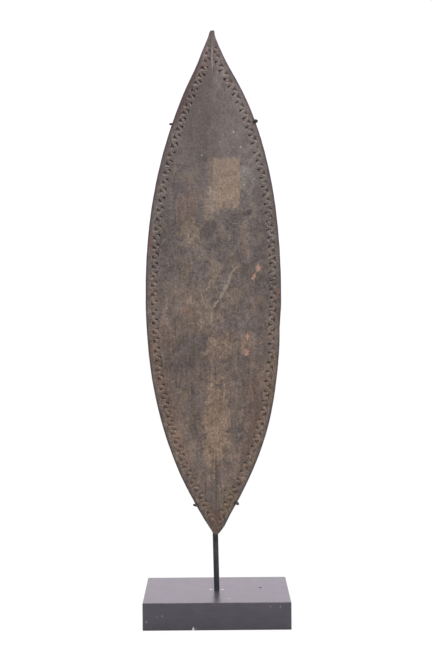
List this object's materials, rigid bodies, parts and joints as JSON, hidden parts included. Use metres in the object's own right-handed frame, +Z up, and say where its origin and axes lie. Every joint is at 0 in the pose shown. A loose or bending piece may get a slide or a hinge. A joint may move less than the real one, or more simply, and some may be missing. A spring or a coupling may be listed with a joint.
{
  "type": "long wooden shield",
  "caption": "Long leaf-shaped wooden shield with a chip-carved zigzag border, held upright by bent wire hooks on a rod that rises from a black block.",
  "frame": {"origin": "centre of the stand block's underside, on the surface it stands on", "axes": "+Z up along the shield's length; the carved face looks towards -Y; +X to the right of someone facing it"},
  "size_m": [0.2864, 0.16, 1.1677],
  "materials": {
    "shield_wood": "old carved hardwood with a worn greyish dark-brown patina, satin",
    "block_paint": "wooden block in satin black paint",
    "rod_paint": "steel rod in satin black paint",
    "wire_paint": "bent steel wire in matt black paint"
  },
  "bodies": {
    "root": {"shield": "shield_wood", "base_block": "block_paint", "stand_rod": "rod_paint", "upper_bracket": "wire_paint", "lower_bracket": "wire_paint"}
  },
  "joints": []
}
